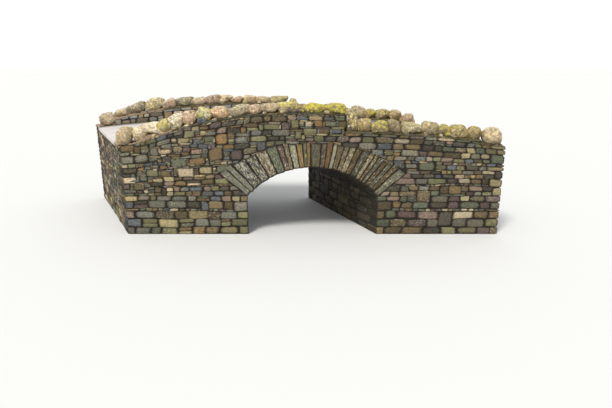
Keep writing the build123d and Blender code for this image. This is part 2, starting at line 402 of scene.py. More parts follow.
# Soffit
# Between the rings the barrel is lined with rows of damp slates that run along the skew, pressed
# flat on the centring that the arch was built over.

SOFFIT_ROW = (0.055, 0.10)
SOFFIT_LENGTH = (0.28, 0.62)
SOFFIT_DEPTH = 0.07
# Each kind's sRGB colour and how often it is met, darker than wet slate alone with painted shade, as the
# arch keeps it in shadow
WET_SHADED_STONES = {
    "slate": ("302b22", 1), "dark": ("27241e", 1), "earth": ("3a3123", 1), "brown": ("32291c", 1),
    "drab": ("41392a", 1), "black": ("242219", 1), "rust": ("4a3e27", 1),
}
# Split slate that never dries: half glossy from its film of water, and dark and brown both from
# the damp and from painted shade under the arch, its blotches 70 mm across and its thin crust in
# patches of 40 mm
wet_finish = stone_material("damp_slate_rubble", 70 * MM, (1, 1, 2), "7d7862", 40 * MM, 0.55)
dice = random.Random(131)
bm = new_stones()
angle = -SPRING_ANGLE
row_end = HALF_WIDTH - RING_DEPTH
while angle < SPRING_ANGLE - 0.01:
    turn = dice.uniform(*SOFFIT_ROW) / ARCH_R
    if SPRING_ANGLE - angle - turn < 0.03:
        turn = SPRING_ANGLE - angle
    y = -row_end
    while y < row_end - 0.01:
        length = dice.uniform(*SOFFIT_LENGTH)
        if row_end - y - length < 0.2:
            length = row_end - y
        drop = dice.uniform(0.004, 0.02)
        corners = {}
        for right, outer, top in CORNERS:
            at = angle + turn * right + stray(dice, 0.0016)
            reach = ARCH_R + SOFFIT_DEPTH if top else ARCH_R - drop + stray(dice, 0.003)
            along = y + length * outer + stray(dice, 0.006)
            corners[right, outer, top] = turned(ARCH_CENTRE, at, reach, along)
        colour = shade(dice.choice(list(WET_SHADED_STONES.values()))[0], dice)
        set_stone(bm, dice, corners, 2, colour, (0, 0.1, 0), rim=0.012, rough=0.004)
        y += length
    angle += turn
finish_stones(bm, "soffit_slates", wet_finish)

# Quoins
# Larger squared blocks bond each upright corner: they lie by turns along one face and the other.
# The courses of all the walls meet in them. They lie level up to the springing of the arch, and
# above it spread like a fan until they follow the humped top of each wall.

WALL_MIDDLE = 1.49
COVER = 0.18
ROAD_TOP = EXTRADOS_Z + EXTRADOS_R + COVER
ROAD_FALL = 0.3
ROAD_R = (HALF_LENGTH**2 + ROAD_FALL**2) / (2 * ROAD_FALL)
END_SETBACK = 0.06
END_BOULDER = 0.5
STONE_GAP = 0.012
PARAPET_END = HALF_LENGTH - END_SETBACK - END_BOULDER - STONE_GAP
LEFT_LEAN = 0.09
PARAPET_LEFT = LEFT_LEAN - PARAPET_END
STEP_U = 0.93
APEX = -0.19
LOW_PARAPET = 0.06
# How high each high parapet stands over the road at its crown and at its left end
PARAPET_RISES = {-1: (0.535, 0.04), 1: (0.400, 0.15)}
# One course in twenty is a thin one
THIN_COURSE = (0.055, 0.08)
THIN_SHARE = 0.05
# How far a quoin runs along the front or back and along the other face, by turns
QUOIN_RUNS = ((0.25, 0.40), (0.42, 0.23))
# How far they stand out into the waterway, and how far behind the end plane they stop
QUOIN_NOSE = 0.012


def road_height(u):
    return ROAD_TOP - ROAD_R + math.sqrt(ROAD_R**2 - u * u)


def parapet_circle(side):
    """Height of the centre and radius of the high parapet's top, on the front (-1) or back (1)."""
    at_crown, at_end = PARAPET_RISES[side]
    fall = ROAD_TOP + at_crown - road_height(PARAPET_LEFT) - at_end
    reach = APEX - PARAPET_LEFT
    radius = (reach**2 + fall**2) / (2 * fall)
    return ROAD_TOP + at_crown - radius, radius


def parapet_height(side, u):
    centre, radius = parapet_circle(side)
    return centre + math.sqrt(radius**2 - (u - APEX) ** 2)


def wall_top(side, u):
    """Height of a wall's top under its coping."""
    if PARAPET_LEFT < u < STEP_U:
        return parapet_height(side, u)
    return road_height(u) + (LOW_PARAPET if STEP_U <= u < PARAPET_END else 0.0)


def fan_top(side, u):
    """The line that the courses follow at the top: the high parapet's, and on past its ends."""
    if u > STEP_U:
        return parapet_height(side, STEP_U) + road_height(u) - road_height(STEP_U)
    return max(parapet_height(side, u), road_height(u) + 0.04)


def course_heights(dice, total, thick):
    heights = []
    while sum(heights) < total - thick[0] / 2:
        heights.append(dice.uniform(*THIN_COURSE) if dice.random() < THIN_SHARE else dice.uniform(*thick))
    return [h * total / sum(heights) for h in heights]


dice = random.Random(5)
heights = course_heights(dice, SPRINGING, (0.15, 0.22))
SPRING_COURSE = len(heights)
heights += course_heights(dice, parapet_height(-1, APEX) - SPRINGING - 0.05, (0.125, 0.17)) + [0.05]
COURSES = len(heights)
levels = [sum(heights[:k]) for k in range(COURSES + 1)]


def course_line(k, x, y):
    """Height of the bed joint under course k at a place in plan."""
    u = x + SKEW * max(-WALL_MIDDLE, min(WALL_MIDDLE, y))
    share = max(0.0, min(1.0, (y / WALL_MIDDLE + 1) / 2))
    top = (1 - share) * fan_top(-1, u) + share * fan_top(1, u)
    z = levels[k]
    if k > SPRING_COURSE:
        z = SPRINGING + (z - SPRINGING) / (levels[-1] - SPRINGING) * (top - SPRINGING)
    if k not in (0, SPRING_COURSE, COURSES):
        z += 0.035 * noise.noise(Vector((x * 0.8, y * 0.8, k * 0.4)))
        z += 0.016 * noise.noise(Vector((x * 3.3, y * 3.3, k * 0.9)))
        z += 0.013 * noise.noise(Vector((x * 9, y * 9, k * 1.7)))
    return z


# Slates and cobbles of the walls: sRGB colour, and how often each is met
WALL_STONES = {
    "grey": ("6c6a60", 14), "dark": ("47443c", 13), "blue": ("595e62", 8), "green": ("5f6454", 8),
    "olive": ("716f53", 10), "brown": ("716248", 13), "earth": ("574c39", 9), "rust": ("7b6446", 2),
    "rose": ("7b6b60", 5), "purple": ("584a49", 6), "buff": ("9a8d6c", 8), "pale": ("b0a289", 5),
}


def pick(kinds, dice):
    """The colour of a stone of one of several kinds, as often as each is met."""
    return shade(dice.choices([k[0] for k in kinds.values()], [k[1] for k in kinds.values()])[0], dice, 0.35)


def damp_foot(spot, seed, grown):
    """Algae at the foot of a wall, and crust on some of its stones."""
    wet = max(0.0, 1 - spot.z / 0.5) * 0.45
    crust = 0.15 + 0.5 * seed**3
    return max(grown[0], wet), max(grown[1], crust), grown[2]


# Slate split with a hammer and left to the weather: matt, rough and streaked along its bed, its
# blotches 60 mm across and its dull crust in patches of 35 mm
wall_finish = stone_material(
    "split_slate_rubble", 60 * MM, (0.85, 1, 2.0), "a59d84", 35 * MM, 0.86, depth=0.24)
quoins = {}
dice = random.Random(7)
bm = new_stones()
for side, _ in SIDES:
    for u_edge in (-HALF_LENGTH, -HALF_SPAN, HALF_SPAN, HALF_LENGTH):
        y_edge = side * HALF_WIDTH
        x_edge = u_edge - y_edge * SKEW
        at_end = abs(u_edge) > HALF_SPAN
        into = -1 if at_end == (u_edge > 0) else 1
        limit = road_height(HALF_LENGTH) - 0.005 if at_end else SPRINGING
        nose = -QUOIN_NOSE if at_end else QUOIN_NOSE
        quoins[u_edge, side] = runs = []
        turn = side > 0
        while course_line(len(runs), x_edge, y_edge) < limit - 0.03:
            k = len(runs)
            tall = course_line(k + 1, x_edge, y_edge) - course_line(k, x_edge, y_edge)
            may_rise = tall < 0.13 and k + 2 not in (SPRING_COURSE + 1, COURSES)
            rise = 2 if may_rise and dice.random() < 0.6 else 1
            run_u, run_y = QUOIN_RUNS[turn]
            turn = not turn
            run_u += dice.uniform(-0.06, 0.05)
            runs += [(run_u, run_y)] * rise
            proud = dice.uniform(0.016, 0.025)
            corners = {}
            for inner, outer, top in CORNERS:
                u = u_edge + into * (run_u if inner else -nose)
                y = side * (HALF_WIDTH + proud) if outer else y_edge - side * run_y
                x = u - y * SKEW
                z = course_line(k + rise * top, u - y_edge * SKEW, y_edge) + 0.002 - 0.004 * top
                roof = wall_top(side, x + side * WALL_MIDDLE * SKEW) - 0.004 if at_end else limit
                z = roof if z > roof - 0.06 and top else min(z, roof)
                right = int(inner == (into > 0))
                corners[right, outer, top] = Vector((x, y, z + stray(dice, 0.004)))
            set_stone(bm, dice, corners, 3, pick(WALL_STONES, dice), rim=dice.uniform(0.022, 0.04),
                      bulge=proud * 0.6, wear=dice.uniform(0, 0.15), rough=0.008)
finish_stones(bm, "quoins", wall_finish, damp_foot)

# Front and back walls
# Random rubble of split slate and field cobbles with a few pale stones, laid almost dry in
# wavering courses. Each stone is wedged against its neighbours, its nose 13 to 28 mm proud of the
# heart. The parapet is the same wall carried on up past the road.

SHORTEST_STONE = 0.12


def face(origin, along, outward):
    return Vector(origin), Vector(along), Vector(outward)


def on_face(place, s, z, out):
    origin, along, outward = place
    return origin + along * s + outward * out + Vector((0, 0, z))


def wall_stone(bm, dice, place, cell, colour, out, depth, cobbles=0.35):
    """A stone that fills a four-sided cell of a wall's face, given as (s, z) corners from the
    bottom left round to the top left. cobbles is the share of stones that are rounder."""
    wide = abs(cell[1][0] - cell[0][0] + cell[2][0] - cell[3][0]) / 2
    tall = abs(cell[3][1] - cell[0][1] + cell[2][1] - cell[1][1]) / 2
    middle_s = sum(c[0] for c in cell) / 4
    middle_z = sum(c[1] for c in cell) / 4
    loose_s, loose_z = min(0.02, 0.09 * wide), min(0.016, 0.11 * tall)
    lean = stray(dice, 0.008), stray(dice, 0.008)
    cobble = dice.random() < cobbles
    worn = 0.26 * min(wide, tall) if cobble else dice.uniform(0.018, 0.034)
    wear = dice.uniform(0.2, 0.36) if cobble else dice.uniform(0.0, 0.18)
    corners = {}
    for (right, top), (s, z) in zip(((0, 0), (1, 0), (1, 1), (0, 1)), cell):
        s += stray(dice, loose_s) - math.copysign(0.17 * worn, middle_s - s)
        z += stray(dice, loose_z) - math.copysign(0.13 * worn, middle_z - z)
        proud = out + stray(dice, 0.005) + (right - 0.5) * lean[0] + (top - 0.5) * lean[1]
        corners[right, 1, top] = on_face(place, s, z, proud)
        corners[right, 0, top] = on_face(place, s, z, -depth)
    bulge = max(0.0, out - 0.007) * dice.uniform(0.75, 1.0) * min(1.0, min(wide, tall) / 0.11)
    set_stone(bm, dice, corners, 3, colour, rim=worn, bulge=bulge, wear=wear)


def stretch(left, right):
    """A stretch of a course with upright edges. An edge is (bottom, top)."""
    return (left, left), (right, right)


def open_runs(ends, left_out):
    """The stretches that left-out stretches leave between two ends."""
    runs, start = [], (ends[0], ends[0])
    for left, right in sorted(left_out):
        if min(left) - max(start) > 0.05:
            runs.append((start, left))
        if max(right) > max(start):
            start = right
    if ends[1] - max(start) > 0.05:
        runs.append((start, (ends[1], ends[1])))
    return runs


def lay_courses(bm, dice, place, line, rows, ends, stones, fit=None, left_out=None, out=(0.013, 0.028),
                depth=0.08, long=(1.2, 2.9), widest=0.55):
    """Lays courses of stones on a face between two ends. line is the height of a joint at s, fit
    turns a cell into the cells that are left of it, left_out lists what course k leaves open. long
    is how many times its height a stone is long."""
    taken = []
    for k in rows:
        closed = taken + (left_out(k) if left_out else [])
        taken = []
        for left, right in open_runs(ends, closed):
            s, stop, edge = sum(left) / 2, sum(right) / 2, left
            while s < stop - 0.01:
                height = line(k + 1, s) - line(k, s)
                width = height * dice.uniform(*long) + dice.uniform(-0.03, 0.04)
                width = min(widest, max(SHORTEST_STONE, width))
                last = stop - (s + width) < SHORTEST_STONE
                if last:
                    width = stop - s
                tilt = stray(dice, 0.022)
                roll = dice.random()
                upright = abs(edge[0] - edge[1]) < 0.05
                rise = 1
                # One stone in ten takes up two courses, and some thick ones are two thin ones
                if roll < 0.10 and upright and not last and k + 2 in rows and SHORTEST_STONE < width < 0.40:
                    rise, tilt = 2, 0.0
                    taken.append(stretch(s, s + width))
                next_edge = right if last else (s + width - tilt, s + width + tilt)
                cell = [(edge[0], line(k, edge[0])), (next_edge[0], line(k, next_edge[0])),
                        (next_edge[1], line(k + rise, next_edge[1])), (edge[1], line(k + rise, edge[1]))]
                cells = [cell]
                if rise == 1 and roll > 0.93 and height > 0.13:
                    share = dice.uniform(0.38, 0.62)
                    west = tuple(p + (q - p) * share for p, q in zip(cell[0], cell[3]))
                    east = tuple(p + (q - p) * share for p, q in zip(cell[1], cell[2]))
                    cells = [[cell[0], cell[1], east, west], [west, east, cell[2], cell[3]]]
                for part in cells:
                    for piece in fit(part) if fit else [part]:
                        wall_stone(bm, dice, place, piece, pick(stones, dice), dice.uniform(*out), depth)
                s += width
                edge = next_edge


def stand_on(cell, floor):
    """A cell with its foot lifted to a floor line, in a list, which is empty where too little is
    left."""
    cell = [list(p) for p in cell]
    for low in (0, 1):
        cell[low][1] = max(cell[low][1], floor(cell[low][0]))
    if max(cell[3][1] - cell[0][1], cell[2][1] - cell[1][1]) < 0.02:
        return []
    for low, high in ((0, 3), (1, 2)):
        cell[high][1] = max(cell[high][1], cell[low][1] + 0.012)
    return [cell]


def hang_under(cell, roof, sliver=0.04):
    """A cell with its top at a roof line where it was above it or less than a sliver below, in a
    list, which is empty where too little is left."""
    cell = [list(p) for p in cell]
    for high, inwards in ((3, 0.003), (2, -0.003)):
        top = roof(cell[high][0] + inwards)
        if cell[high][1] > top - sliver:
            cell[high][1] = top
    if max(cell[3][1] - cell[0][1], cell[2][1] - cell[1][1]) < sliver:
        return []
    for low, high in ((0, 3), (1, 2)):
        cell[low][1] = min(cell[low][1], cell[high][1] - 0.012)
    return [cell]


def make_room(cell, chosen):
    """The parts of a cell that chosen stones, given as (left, right, low, high), leave free. Thin
    leftovers are made wider and run a little way behind the chosen stone."""
    cells = [cell]
    for left, right, low, high in chosen:
        kept = []
        for part in cells:
            s0, s1 = min(part[0][0], part[3][0]), max(part[1][0], part[2][0])
            z0, z1 = min(part[0][1], part[1][1]), max(part[2][1], part[3][1])
            if s1 <= left or s0 >= right or z1 <= low or z0 >= high:
                kept.append(part)
                continue
            foot, head = z0, z1
            if low - z0 > 0.015:
                foot = max(low, z0 + 0.05)
                cropped = [(s, min(foot, z)) for s, z in part[2:]]
                kept.append([part[0], part[1], *cropped])
            if z1 - high > 0.015:
                head = min(high, z1 - 0.05)
                cropped = [(s, max(head, z)) for s, z in part[:2]]
                kept.append([*cropped, part[2], part[3]])
            if left - s0 > 0.015:
                edge = max(left, s0 + 0.06)
                kept.append([(part[0][0], foot), (edge, foot), (edge, head), (part[3][0], head)])
            if s1 - right > 0.015:
                edge = min(right, s1 - 0.06)
                kept.append([(edge, foot), (part[1][0], foot), (part[2][0], head), (edge, head)])
        cells = kept
    return [c for c in cells if min(c[1][0] - c[0][0], c[2][0] - c[3][0]) > 0.045
            and max(c[3][1] - c[0][1], c[2][1] - c[1][1]) > 0.025]


# Stones that stand out on the front wall: left, right, low, high and kind, some with the steps up
# or down of their lower right, upper right and upper left corners
FRONT_CHOSEN = [
    (-2.71, -2.30, 1.98, 2.42, "brown", (0.08, 0.05, -0.12)),
    (-2.52, -2.17, 1.69, 1.97, "green", (0.07, 0.05, -0.1)), (-3.52, -3.10, 1.59, 1.83, "pale"),
    (-2.97, -2.60, 1.67, 1.87, "buff"), (-3.21, -2.77, 1.91, 2.08, "rust", (0.05, 0.04, 0)),
    (-3.70, -3.26, 1.86, 2.09, "green"), (-4.19, -3.97, 2.12, 2.38, "grey"),
    (-4.34, -4.02, 1.60, 1.79, "olive"), (-3.48, -3.16, 2.46, 2.61, "buff", (0.04, 0, 0)),
    (-3.09, -2.83, 2.44, 2.58, "blue", (0.03, 0.02, 0)), (-1.99, -1.66, 2.50, 2.66, "blue"),
    (-2.81, -2.52, 2.50, 2.65, "green", (0.02, 0.02, 0)),
    (-3.99, -3.78, 1.77, 1.90, "rust", (0.04, 0.02, 0)), (-3.97, -3.68, 1.60, 1.75, "brown"),
    (-3.91, -3.66, 1.97, 2.14, "dark"), (-3.62, -3.36, 2.24, 2.39, "brown", (0.02, 0.02, 0)),
    (-3.92, -3.65, 2.18, 2.33, "pale", (0.03, 0.02, 0)), (-4.62, -4.44, 2.22, 2.41, "earth"),
    (-3.10, -2.88, 2.79, 2.92, "buff", (0.03, 0.02, 0)), (-2.88, -2.69, 2.69, 2.82, "buff"),
    (-2.95, -2.69, 2.34, 2.46, "blue"), (-0.56, -0.35, 2.87, 3.08, "olive"),
    (-0.80, -0.58, 2.84, 3.03, "purple"), (-0.21, 0.00, 2.92, 3.06, "pale"),
    (0.03, 0.26, 2.90, 3.08, "rust"), (0.30, 0.60, 2.90, 3.06, "green"), (0.62, 0.85, 2.90, 3.05, "earth"),
    (-1.26, -0.82, 2.83, 2.98, "olive"), (-1.05, -0.57, 2.67, 2.83, "grey"),
    (-0.45, -0.28, 2.58, 2.80, "olive"), (-0.26, 0.12, 2.72, 2.88, "olive"),
    (0.14, 0.44, 2.72, 2.88, "earth"), (0.46, 0.74, 2.73, 2.86, "blue"),
    (-1.84, -1.68, 2.74, 2.89, "rust"), (2.75, 3.20, 1.75, 2.00, "green"),
    (3.60, 3.92, 1.12, 1.36, "brown"), (-4.70, -4.42, 1.22, 1.45, "earth"),
]
CHOSEN_PROUD = 0.028
CHOSEN_DEPTH = 0.1

# Where the ring's back ends on each side, and where the courses beside it are measured
SHOULDER_U = ring_reach(SPRING_ANGLE) * math.sin(SPRING_ANGLE)
SHOULDER_Z = ARCH_CENTRE[1] + ring_reach(SPRING_ANGLE) * math.cos(SPRING_ANGLE)
BESIDE_RING = 2.1

for side, name in SIDES:
    dice = random.Random(12 if side < 0 else 29)
    place = face((0, side * HALF_WIDTH, 0), (1, 0, 0), (0, side, 0))
    shift = side * HALF_WIDTH * SKEW
    wall_shift = side * WALL_MIDDLE * SKEW
    step = STEP_U - wall_shift
    ends = (-HALF_LENGTH - shift, HALF_LENGTH - shift)
    chosen = []
    for left, right, low, high, kind, *steps in FRONT_CHOSEN if side < 0 else []:
        steps = steps[0] if steps else (0, 0, 0)
        chosen.append((left - shift, right - shift, low, high, kind, steps))
    # The stones round a chosen one run behind its sloping edges
    rooms = [(left, right, low + 0.7 * max(0, steps[0]), high + 0.7 * min(0, *steps[1:]))
             for left, right, low, high, kind, steps in chosen]

    def line(k, s):
        return course_line(k, s, side * HALF_WIDTH)

    def left_out(k):
        """What the quoins, the arch with its ring and the air over the step take of a course."""
        closed = []
        for way, _ in WAYS:
            runs = quoins[way * HALF_LENGTH, side]
            if k < len(runs):
                edge = way * (HALF_LENGTH - runs[k][0]) - shift
                far = way * (HALF_LENGTH + 1) - shift
                closed.append(stretch(min(edge, far), max(edge, far)))
        if k < SPRING_COURSE:
            left = -HALF_SPAN - quoins[-HALF_SPAN, side][k][0] - shift
            right = HALF_SPAN + quoins[HALF_SPAN, side][k][0] - shift
            closed.append(stretch(left, right))
        else:
            edges = []
            for way, _ in WAYS:
                edge = []
                for top in (0, 1):
                    above = line(k + top, way * BESIDE_RING - shift) - SPRINGING
                    reach = min(SHOULDER_U, HALF_SPAN + STONE_GAP + above * math.tan(SPRING_ANGLE))
                    edge.append(way * reach - shift)
                edges.append(tuple(edge))
            if line(k, edges[0][0]) < SHOULDER_Z:
                closed.append(tuple(edges))
        low_top = wall_top(side, STEP_U)
        if line(k + 1, step) > low_top + 0.01:
            beyond = step if line(k, step) < low_top - 0.03 else ends[1] + 1
            closed.append(stretch(step, beyond))
        return closed

    def crest(s):
        return wall_top(side, s + wall_shift)

    def fit(cell):
        cells = [cell]
        if min(p[1] for p in cell) > SHOULDER_Z - 0.05:
            cells = stand_on(cell, lambda s: ring_back(side, s + shift))
        cells = [c for part in cells for c in hang_under(part, crest)]
        return [c for part in cells for c in make_room(part, rooms)]

    def mossy_crest(spot, seed, grown):
        """Moss under the coping and algae at the foot, with crust on some stones."""
        below = crest(spot.x) - spot.z
        moss = max(0.0, 1 - below / 0.16) * (0.6 if spot.x + wall_shift > -3.2 else 0.25)
        wet, crust, yellow = damp_foot(spot, seed, grown)
        return max(moss, wet), crust, 0.25 if seed < 0.08 else yellow

    split = SPRING_COURSE + 3
    for part, rows in (("lower", range(split)), ("upper", range(split, COURSES))):
        bm = new_stones()
        lay_courses(bm, dice, place, line, rows, ends, WALL_STONES, fit, left_out)
        if part == "upper":
            for left, right, low, high, kind, steps in chosen:
                cell = [(left, low), (right, low + steps[0])]
                cell += [(right, high + steps[1]), (left, high + steps[2])]
                colour = shade(WALL_STONES[kind][0], dice, 0.08)
                wall_stone(bm, dice, place, cell, colour, CHOSEN_PROUD, CHOSEN_DEPTH, cobbles=0.0)
        finish_stones(bm, f"rubble_{name}_{part}", wall_finish, mossy_crest)

# Road faces of the parapets
# The same rubble on the side towards the road, drier and paler, in courses of 135 mm that follow
# the road. Short stones and one block close the ends of the high parapet.

INNER_FACE = 1.28
ROADSIDE_COURSE = 0.135
ROADSIDE_STONES = {
    "grey": ("958f84", 10), "blue": ("85878a", 5), "brown": ("9a876c", 5), "dark": ("726b60", 4),
    "pale": ("b8ab96", 5),
}
for side, name in SIDES:
    dice = random.Random(41 + side)
    wall_shift = side * WALL_MIDDLE * SKEW
    place = face((0, side * INNER_FACE, 0), (1, 0, 0), (0, -side, 0))
    step = STEP_U - wall_shift
    ends = (PARAPET_LEFT - wall_shift, PARAPET_END - wall_shift)
    end_face = face((step, side * WALL_MIDDLE, 0), (0, 1, 0), (1, 0, 0))
    end_foot = road_height(STEP_U) + LOW_PARAPET

    def line(k, s):
        waver = 0.02 * noise.noise(Vector((s * 1.7, side * 5, k * 3.1))) if k else -0.01
        return road_height(s + side * INNER_FACE * SKEW) + ROADSIDE_COURSE * k + waver

    def low_line(k, s):
        return road_height(s + wall_shift) - 0.01 + 0.07 * k

    def end_line(k, s):
        return end_foot + (parapet_height(side, STEP_U) - end_foot) / 3 * k

    def crest(s):
        return wall_top(side, s + wall_shift)

    def fit(cell):
        return hang_under(cell, crest)

    def mossy_crest(spot, seed, grown):
        below = crest(spot.x) - spot.z
        return max(0.0, 1 - below / 0.14) * 0.5, 0.38 if seed > 0.8 else 0.15, 0.0

    bm = new_stones()
    left, tall = ends[0], parapet_height(side, PARAPET_LEFT) - road_height(PARAPET_LEFT)
    start = left + 0.19 if tall > 0.1 else left
    lay_courses(bm, dice, place, line, range(4), (start, step), ROADSIDE_STONES, fit,
                out=(0.012, 0.022), long=(1.2, 2.6))
    lay_courses(bm, dice, place, low_line, range(1), (step, ends[1]), ROADSIDE_STONES,
                long=(3, 6), out=(0.006, 0.016))
    lay_courses(bm, dice, end_face, end_line, range(3), (-0.205, 0.205), ROADSIDE_STONES,
                out=(0.008, 0.018), long=(1, 2))
    # Where the high parapet still stands over 0.1 m at its left end, one block closes it
    if tall > 0.1:
        corners = {}
        for right, outer, top in CORNERS:
            y = side * (INNER_FACE - 0.016 if outer else HALF_WIDTH + 0.016)
            x = left + 0.2 if right else left - 0.014
            z = road_height(PARAPET_LEFT) - 0.01 + top * (tall + 0.01 + 0.03 * right)
            corners[right, outer, top] = Vector((x, y, z))
        set_stone(bm, dice, corners, 4, pick(ROADSIDE_STONES, dice), rim=0.03, rough=0.008)
    finish_stones(bm, f"rubble_{name}_roadside", wall_finish, mossy_crest)

# Inner walls of the waterway
# Rubble from the bed to the springing on both abutments, always damp: browner and darker, the
# darkness partly painted shade under the arch, with a few long slabs.

SKEW_HALF = HALF_WIDTH / math.cos(SKEW_RAD)


def skew_wall(u_edge, way):
    """A face on the skew that looks left (-1) or right (1): its place, the height of its joints,
    and what the quoins at both of its corners take of course k."""
    place = face((u_edge, 0, 0), ALONG_SKEW, SQUARE_TO_SKEW * way)

    def line(k, s):
        return course_line(k, *on_face(place, s, 0, 0).xy)

    def left_out(k):
        runs = [quoins[u_edge, side] for side, _ in SIDES]
        near, far = (r[k][1] / math.cos(SKEW_RAD) if k < len(r) else 0.0 for r in runs)
        return [stretch(-SKEW_HALF - 1, near - SKEW_HALF), stretch(SKEW_HALF - far, SKEW_HALF + 1)]

    return place, line, left_out


for way, name in WAYS:
    dice = random.Random(80 + way)
    place, line, left_out = skew_wall(way * HALF_SPAN, -way)
    bm = new_stones()
    lay_courses(bm, dice, place, line, range(SPRING_COURSE), (-SKEW_HALF, SKEW_HALF), WET_SHADED_STONES,
                left_out=left_out, out=(0.004, 0.020), long=(1.2, 3.4), widest=0.8)
    finish_stones(bm, f"waterway_wall_{name}", wet_finish, damp_foot)

# Ends of the bridge
# Plain rubble closes each end on the skew, where the approach bank leans against it. The edge of
# the road covers its top.

ROAD_EDGE = 0.085


def under_road(s):
    below = ROAD_EDGE if abs(s) * math.cos(SKEW_RAD) < INNER_FACE else 0.006
    return road_height(HALF_LENGTH) - below


def fit_under_road(cell):
    return hang_under(cell, under_road)


for way, name in WAYS:
    dice = random.Random(60 + way)
    place, line, left_out = skew_wall(way * HALF_LENGTH, way)
    bm = new_stones()
    lay_courses(bm, dice, place, line, range(COURSES), (-SKEW_HALF, SKEW_HALF), WALL_STONES,
                fit_under_road, left_out, out=(-0.024, -0.012), depth=0.10)
    finish_stones(bm, f"rubble_end_{name}", wall_finish, damp_foot)

# Road surface
# A thin coat of rolled grey tarmac with pale chippings, worn by feet and wheels, with grit and
# moss along its edges.

# Tarmac, rolled hot and bleached by the weather: pale grey, nearly matt and speckled by chippings
# of 10 mm, worn in patches of 0.6 m. The grit is too fine to show and is drawn 18 mm across
CHIPPING = 10 * MM
GRIT = 18.2 * MM
WORN_PATCH = 625 * MM
tarmac, tree = new_material("rolled_tarmac")
place = add(tree, "TexCoord")["Object"]
chips = add(tree, "TexVoronoi", {"Vector": place, "Scale": 1 / CHIPPING}, feature="F1")["Color"]
chips = add(tree, "SeparateColor", {"Color": chips})[0]
broad = {"Vector": place, "Scale": 1 / WORN_PATCH, "Detail": 5, "Roughness": 0.6}
broad = add(tree, "TexNoise", broad)[0]
grit = add(tree, "TexNoise", {"Vector": place, "Scale": 1 / GRIT, "Detail": 3})[0]
base = add(tree, "Mix", {0: chips, 6: linear("bab4b1"), 7: linear("d8d1ce")}, data_type="RGBA")[2]
light = add(tree, "MapRange", {0: broad, 1: 0.3, 2: 0.7, 3: 0.88, 4: 1.1})[0]
base = add(tree, "VectorMath", {0: base, 3: light}, operation="SCALE")[0]
# Moss and grit gather beyond 1.0 to 1.2 m off the road's middle, in a line that both noises break
across = add(tree, "SeparateXYZ", {0: place})[1]
across = add(tree, "Math", {0: across}, operation="ABSOLUTE")[0]
edge = add(tree, "Math", {0: grit, 1: 0.22, 2: across}, operation="MULTIPLY_ADD")[0]
edge = add(tree, "Math", {0: broad, 1: 0.35, 2: edge}, operation="MULTIPLY_ADD")[0]
edge = add(tree, "MapRange", {0: edge, 1: 1.28, 2: 1.50, 3: 0.0, 4: 0.85})[0]
base = add(tree, "Mix", {0: edge, 6: base, 7: linear("6a6148")}, data_type="RGBA")[2]
coat(tree, base, grit, 0.35, 0.006, Roughness=0.88)
dress(["road_surface"], tarmac)

# Coping bed
# Thin dark slates level each wall, and lime mortar, pinkish from its sand, is heaped on them
# between the boulders. It shows most at the left end. Moss has taken it over the crown.

# Lime mortar, thrown on and patted with a trowel: matt and gritty, in lumps of about 70 mm, with
# moss in patches of 0.17 m. Its sand is too fine to show and is drawn as specks of 6 mm
LUMP = 71.4 * MM
SAND = 6.25 * MM
MOSS_PATCH = 167 * MM
lime_mortar, tree = new_material("lime_mortar")
place = add(tree, "TexCoord")["Object"]
lumps = add(tree, "TexNoise", {"Vector": place, "Scale": 1 / LUMP, "Detail": 5, "Roughness": 0.65})[0]
sand = add(tree, "TexNoise", {"Vector": place, "Scale": 1 / SAND, "Detail": 2})[0]
spread = add(tree, "MapRange", {0: lumps, 1: 0.35, 2: 0.7})[0]
base = add(tree, "Mix", {0: spread, 6: linear("7f6c54"), 7: linear("b89f84")}, data_type="RGBA")[2]
moss = add(tree, "TexNoise", {"Vector": place, "Scale": 1 / MOSS_PATCH, "Detail": 5, "Roughness": 0.65})[0]
# Moss covers little of the left end, and ever more from 3.6 to 2.6 m left of the middle
along = add(tree, "SeparateXYZ", {0: place})
along = add(tree, "Math", {0: along[1], 1: 0.5, 2: along[0]}, operation="MULTIPLY_ADD")[0]
crown = add(tree, "MapRange", {0: along, 1: -3.6, 2: -2.6, 3: -0.1, 4: 0.17})[0]
moss = add(tree, "Math", {0: moss, 1: crown}, operation="ADD")[0]
moss = add(tree, "MapRange", {0: moss, 1: 0.5, 2: 0.6, 3: 0.0, 4: 0.85})[0]
base = add(tree, "Mix", {0: moss, 6: base, 7: linear("4c4628")}, data_type="RGBA")[2]
both = add(tree, "Math", {0: lumps, 1: 0.7, 2: sand}, operation="MULTIPLY_ADD")[0]
coat(tree, base, both, 0.6, 0.014, Roughness=0.92)
dress([f"coping_bed_{wall}_{part}" for _, wall in SIDES for part in PARTS], lime_mortar)

BED = 0.04
DARK_SLATES = {
    "grey": ("4f4e47", 5), "olive": ("585843", 4), "dark": ("403d35", 4), "brown": ("63573f", 3),
    "blue": ("565a5c", 2),
}


def under_moss(spot, seed, grown):
    return 0.62, 0.2, 0.15


for side, name in SIDES:
    dice = random.Random(110 + side)
    wall_shift = side * WALL_MIDDLE * SKEW
    place = face((0, side * HALF_WIDTH, 0), (1, 0, 0), (0, side, 0))
    bm = new_stones()
    # Each stretch is a course of its own, because the wall's top has a step between them
    for start, end in ((-3.5 if side < 0 else PARAPET_LEFT, STEP_U), (STEP_U, PARAPET_END)):

        def line(k, s):
            return wall_top(side, min(max(s + wall_shift, start + 0.001), end - 0.001)) + (BED + 0.004) * k

        lay_courses(bm, dice, place, line, range(1), (start - wall_shift, end - wall_shift), DARK_SLATES,
                    long=(3.5, 9), out=(0.004, 0.02))
    finish_stones(bm, f"levelling_slates_{name}", wall_finish, under_moss)

